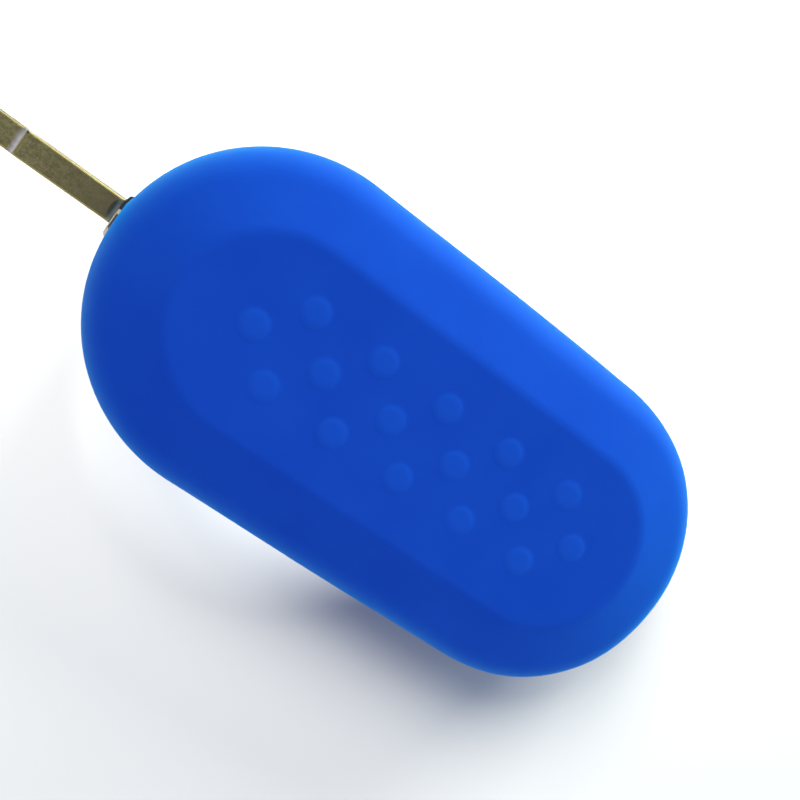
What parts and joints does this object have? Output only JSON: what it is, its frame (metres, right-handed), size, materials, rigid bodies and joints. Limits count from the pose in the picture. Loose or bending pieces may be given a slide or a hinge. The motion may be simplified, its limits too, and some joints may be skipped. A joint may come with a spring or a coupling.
{
  "type": "key fob cover",
  "caption": "Moulded silicone cover with a dotted grip panel, fitted on a flip key whose blade swings out of a side channel.",
  "frame": {"origin": "on the flat front face that the part rests on, at the middle of the cover's outline", "axes": "+X towards the fob's closed end with the open blade pointing -X, +Y towards the side that the blade folds into, +Z out of the dotted back"},
  "size_m": [0.1122, 0.0384, 0.0186],
  "materials": {
    "silicone": "satin matte silicone",
    "case": "fine moulded texture",
    "hub": "smooth moulded",
    "collar": "satin plated",
    "blade": "brushed, with bright chamfers",
    "steel": "plain",
    "spring": "drawn wire",
    "release": "gloss",
    "caps": "moulded",
    "plungers": "moulded",
    "switches": "moulded",
    "board": "solder mask",
    "cell": "nickel plated",
    "contacts": "plated strip",
    "chips": "moulded",
    "coil": "enamelled winding"
  },
  "bodies": {
    "fob": {"silicone_cover": "silicone", "rear_case": "case", "front_case": "case", "case_screws": "steel", "lock_switch": "switches", "boot_switch": "switches", "unlock_switch": "switches", "circuit_board": "board", "coin_cell": "cell", "cell_contact": "contacts", "cell_clip": "contacts", "controller_chip": "chips", "crystal_can": "cell", "antenna_coil": "coil", "transponder_chip": "chips"},
    "blade": {"flip_hub": "hub", "blade_collar": "collar", "key_blade": "blade", "blade_pin": "steel", "flip_spring": "spring"},
    "release": {"release_button": "release"},
    "lock_button": {"lock_pad": "silicone", "lock_cap": "caps", "lock_plunger": "plungers"},
    "boot_button": {"boot_pad": "silicone", "boot_cap": "caps", "boot_plunger": "plungers"},
    "unlock_button": {"unlock_pad": "silicone", "unlock_cap": "caps", "unlock_plunger": "plungers"}
  },
  "joints": [
    {"name": "blade_flip", "type": "hinge", "parent": "fob", "child": "blade", "pos_m": [-0.02455, 0.00827, 0.00595], "axis": [0, 0, -1], "range_deg": [0, 180], "stiffness_Nm_per_rad": 0.008, "springref_deg": -45.84},
    {"name": "release_press", "type": "slide", "parent": "blade", "child": "release", "axis": [0, 0, 1], "range_m": [0, 0.0015], "stiffness_N_per_m": 600, "deforming": ["flip_spring"]},
    {"name": "lock_press", "type": "slide", "parent": "fob", "child": "lock_button", "axis": [0, 0, 1], "range_m": [0, 0.0005], "stiffness_N_per_m": 2500},
    {"name": "boot_press", "type": "slide", "parent": "fob", "child": "boot_button", "axis": [0, 0, 1], "range_m": [0, 0.0005], "stiffness_N_per_m": 2500},
    {"name": "unlock_press", "type": "slide", "parent": "fob", "child": "unlock_button", "axis": [0, 0, 1], "range_m": [0, 0.0005], "stiffness_N_per_m": 2500}
  ]
}
